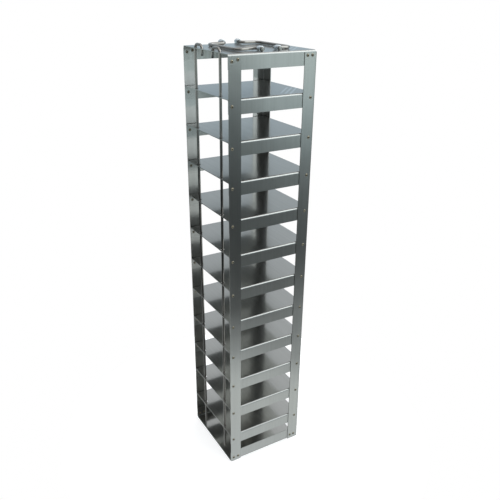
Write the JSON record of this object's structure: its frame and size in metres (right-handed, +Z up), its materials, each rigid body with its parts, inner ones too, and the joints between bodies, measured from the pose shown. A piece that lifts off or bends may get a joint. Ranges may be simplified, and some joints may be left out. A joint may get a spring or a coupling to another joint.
{
  "type": "vertical freezer rack",
  "caption": "Tall stainless freezer rack for cryo boxes: riveted channel shelves on corner posts, wire locking rods down the open front and fold-down wire bails on top.",
  "frame": {"origin": "on the underside of the base, in the middle of the rack's outline", "axes": "+Z up, the open front with the locking rods faces -Y, +X to the right seen from the front"},
  "size_m": [0.1418, 0.14, 0.694],
  "materials": {
    "polished_sheet": "bright annealed stainless sheet with a fine grain across the shelves",
    "satin_sheet": "satin stainless strip, grain along the post",
    "bright_wire": "electropolished stainless wire",
    "rivet_steel": "dull brownish grey rivets",
    "forged_steel": "electropolished forged eyes"
  },
  "bodies": {
    "rack": {"top_channel": "polished_sheet", "shelf_01": "polished_sheet", "shelf_02": "polished_sheet", "shelf_03": "polished_sheet", "shelf_04": "polished_sheet", "shelf_05": "polished_sheet", "shelf_06": "polished_sheet", "shelf_07": "polished_sheet", "shelf_08": "polished_sheet", "shelf_09": "polished_sheet", "shelf_10": "polished_sheet", "shelf_11": "polished_sheet", "bottom_tray": "polished_sheet", "front_left_post": "satin_sheet", "front_right_post": "satin_sheet", "rear_left_post": "satin_sheet", "rear_right_post": "satin_sheet", "front_left_rivets": "rivet_steel", "front_right_rivets": "rivet_steel", "rear_left_rivets": "rivet_steel", "rear_right_rivets": "rivet_steel", "front_left_eye": "forged_steel", "front_right_eye": "forged_steel", "rear_left_eye": "forged_steel", "rear_right_eye": "forged_steel"},
    "left_rod": {"lock_rod_left": "bright_wire"},
    "right_rod": {"lock_rod_right": "bright_wire"},
    "front_handle": {"front_bail": "bright_wire"},
    "rear_handle": {"rear_bail": "bright_wire"}
  },
  "joints": [
    {"name": "left_rod_lift", "type": "slide", "parent": "rack", "child": "left_rod", "axis": [0, 0, 1], "range_m": [0, 0.68]},
    {"name": "right_rod_lift", "type": "slide", "parent": "rack", "child": "right_rod", "axis": [0, 0, 1], "range_m": [0, 0.68]},
    {"name": "front_bail_hinge", "type": "hinge", "parent": "rack", "child": "front_handle", "pos_m": [0, -0.0138, 0.69], "axis": [-1, 0, 0], "range_deg": [0, 113]},
    {"name": "rear_bail_hinge", "type": "hinge", "parent": "rack", "child": "rear_handle", "pos_m": [0, 0.0138, 0.69], "axis": [1, 0, 0], "range_deg": [0, 113]}
  ]
}
